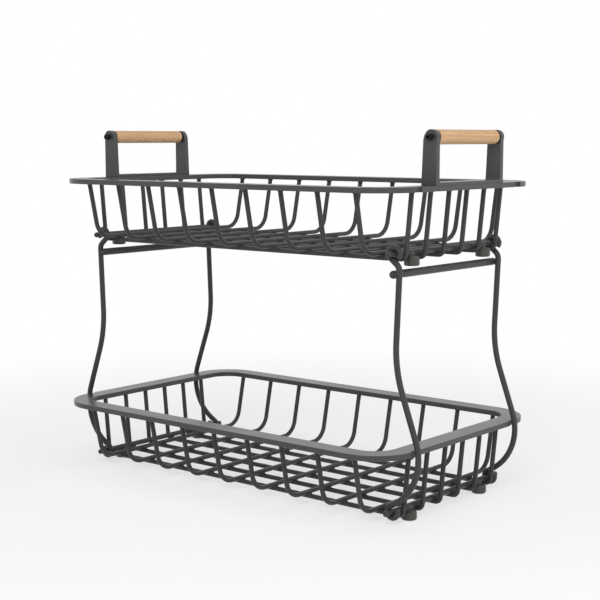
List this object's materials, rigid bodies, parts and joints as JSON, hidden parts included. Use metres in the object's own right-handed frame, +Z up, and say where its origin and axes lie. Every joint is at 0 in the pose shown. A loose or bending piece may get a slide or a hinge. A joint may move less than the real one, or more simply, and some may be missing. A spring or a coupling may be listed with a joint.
{
  "type": "tiered wire basket",
  "caption": "Two-tier open wire basket: flat rims, bent wire bodies on rubber feet, sprung wire legs clipped to rods, and wooden bar handles on the upper basket.",
  "frame": {"origin": "centre of the bounding box on the table plane under the feet", "axes": "+X along the baskets to the right, -Y is the front, +Z up"},
  "size_m": [0.41, 0.245, 0.3318],
  "materials": {
    "coated_steel": "satin black powder coat",
    "rubber_feet": "matt moulded rubber",
    "wood_grips": "smooth lightly oiled light wood",
    "fittings": "black coated fasteners and collars"
  },
  "bodies": {
    "lower_basket": {"lower_back_left_foot": "rubber_feet", "lower_back_right_foot": "rubber_feet", "lower_cross_wire_1": "coated_steel", "lower_cross_wire_2": "coated_steel", "lower_cross_wire_3": "coated_steel", "lower_cross_wire_4": "coated_steel", "lower_cross_wire_5": "coated_steel", "lower_cross_wire_6": "coated_steel", "lower_cross_wire_7": "coated_steel", "lower_cross_wire_8": "coated_steel", "lower_cross_wire_9": "coated_steel", "lower_front_left_foot": "rubber_feet", "lower_front_right_foot": "rubber_feet", "lower_left_rod": "coated_steel", "lower_long_wire_1": "coated_steel", "lower_long_wire_2": "coated_steel", "lower_long_wire_3": "coated_steel", "lower_long_wire_4": "coated_steel", "lower_long_wire_5": "coated_steel", "lower_long_wire_6": "coated_steel", "lower_right_rod": "coated_steel", "lower_rim": "coated_steel"},
    "left_frame": {"left_back_leg": "coated_steel", "left_crossbar": "coated_steel", "left_front_leg": "coated_steel"},
    "right_frame": {"right_back_leg": "coated_steel", "right_crossbar": "coated_steel", "right_front_leg": "coated_steel"},
    "upper_basket": {"handle_bolts": "fittings", "handle_collars": "fittings", "handle_nuts": "fittings", "left_handle_bracket": "coated_steel", "right_handle_bracket": "coated_steel", "upper_back_left_foot": "rubber_feet", "upper_back_right_foot": "rubber_feet", "upper_cross_wire_1": "coated_steel", "upper_cross_wire_2": "coated_steel", "upper_cross_wire_3": "coated_steel", "upper_cross_wire_4": "coated_steel", "upper_cross_wire_5": "coated_steel", "upper_cross_wire_6": "coated_steel", "upper_cross_wire_7": "coated_steel", "upper_cross_wire_8": "coated_steel", "upper_cross_wire_9": "coated_steel", "upper_front_left_foot": "rubber_feet", "upper_front_right_foot": "rubber_feet", "upper_left_rod": "coated_steel", "upper_long_wire_1": "coated_steel", "upper_long_wire_2": "coated_steel", "upper_long_wire_3": "coated_steel", "upper_long_wire_4": "coated_steel", "upper_long_wire_5": "coated_steel", "upper_long_wire_6": "coated_steel", "upper_right_rod": "coated_steel", "upper_rim": "coated_steel"},
    "left_grip": {"left_grip": "wood_grips"},
    "right_grip": {"right_grip": "wood_grips"}
  },
  "joints": [
    {"name": "left_frame_sway", "type": "hinge", "parent": "lower_basket", "child": "left_frame", "pos_m": [-0.17653, 0, 0.0111], "axis": [0, 1, 0], "range_deg": [-0.5, 0.5]},
    {"name": "right_frame_sway", "type": "hinge", "parent": "lower_basket", "child": "right_frame", "pos_m": [0.17653, 0, 0.0111], "axis": [0, 1, 0], "range_deg": [-0.5, 0.5]},
    {"name": "upper_basket_sway", "type": "hinge", "parent": "left_frame", "child": "upper_basket", "pos_m": [-0.17653, 0, 0.2295], "axis": [0, 1, 0], "range_deg": [-0.5, 0.5]},
    {"name": "left_grip_turn", "type": "hinge", "parent": "upper_basket", "child": "left_grip", "pos_m": [-0.1942, 0, 0.3254], "axis": [0, 1, 0], "continuous": true},
    {"name": "right_grip_turn", "type": "hinge", "parent": "upper_basket", "child": "right_grip", "pos_m": [0.1942, 0, 0.3254], "axis": [0, 1, 0], "continuous": true}
  ],
  "couplings": [
    {"joint": "right_frame_sway", "follows": "left_frame_sway", "ratio": 1},
    {"joint": "upper_basket_sway", "follows": "left_frame_sway", "ratio": -1}
  ]
}
